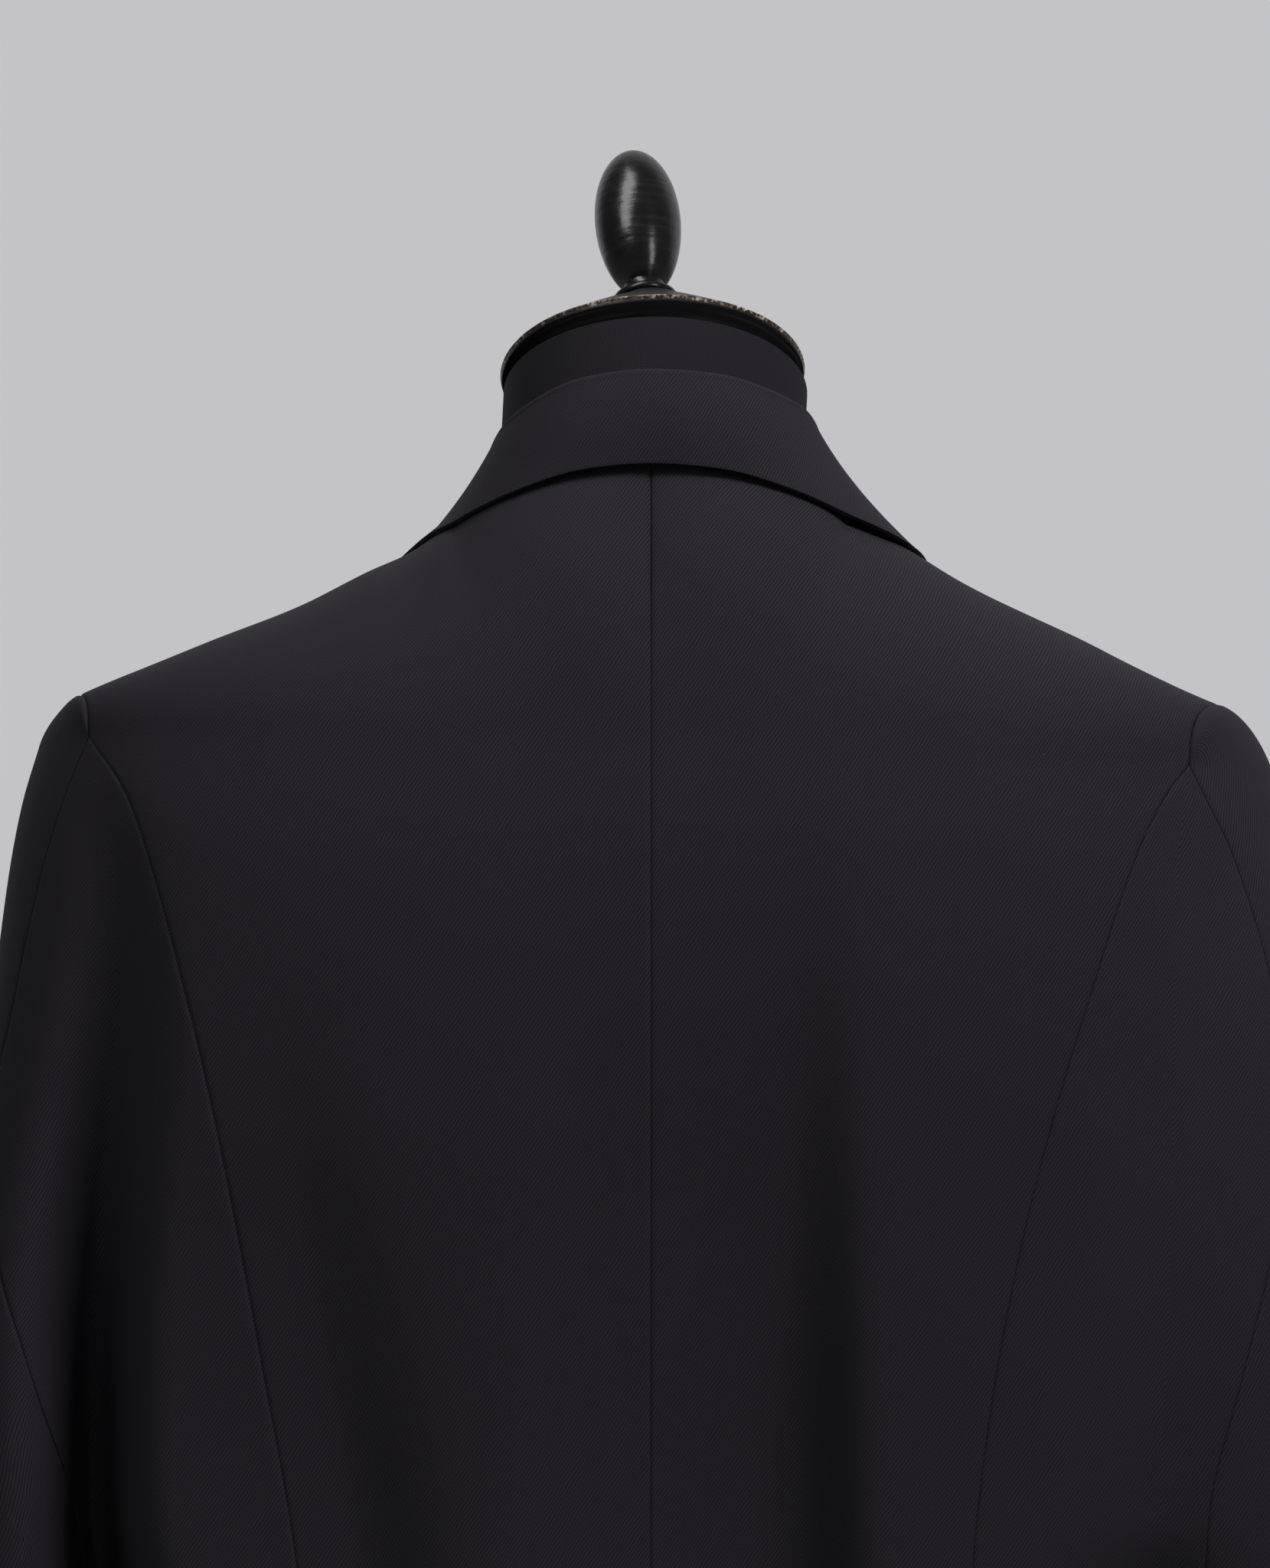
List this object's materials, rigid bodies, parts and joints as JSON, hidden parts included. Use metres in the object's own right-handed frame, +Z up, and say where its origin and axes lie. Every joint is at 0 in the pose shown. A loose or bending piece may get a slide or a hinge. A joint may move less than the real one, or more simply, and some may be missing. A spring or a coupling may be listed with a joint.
{
  "type": "blazer on dress form",
  "caption": "Dark twill blazer with notch lapels and long sleeves, worn by a limbless dress form with a turned cap and finial on a round base.",
  "frame": {"origin": "on the floor, under the middle of the stand's round base", "axes": "+Z up, -Y to the front of the blazer, +X to the wearer's left"},
  "size_m": [0.606, 0.37, 1.5912],
  "materials": {
    "black_wool": "matte fine twill",
    "form_cover": "matte black jersey",
    "black_wood": "gloss black paint, worn at the edge",
    "black_metal": "satin black",
    "button": "semi-gloss"
  },
  "bodies": {
    "root": {"back_left": "black_wool", "back_right": "black_wool", "front_left": "black_wool", "front_right": "black_wool", "side_undersleeve_left": "black_wool", "side_undersleeve_right": "black_wool", "upper_sleeve_left": "black_wool", "upper_sleeve_right": "black_wool", "lapel_left": "black_wool", "lapel_right": "black_wool", "collar": "black_wool", "button_front": "button", "form_torso": "form_cover", "neck_cap": "black_wood", "finial": "black_wood", "stand_socket": "black_wood", "stand_pole": "black_metal", "stand_base": "black_metal"}
  },
  "joints": []
}
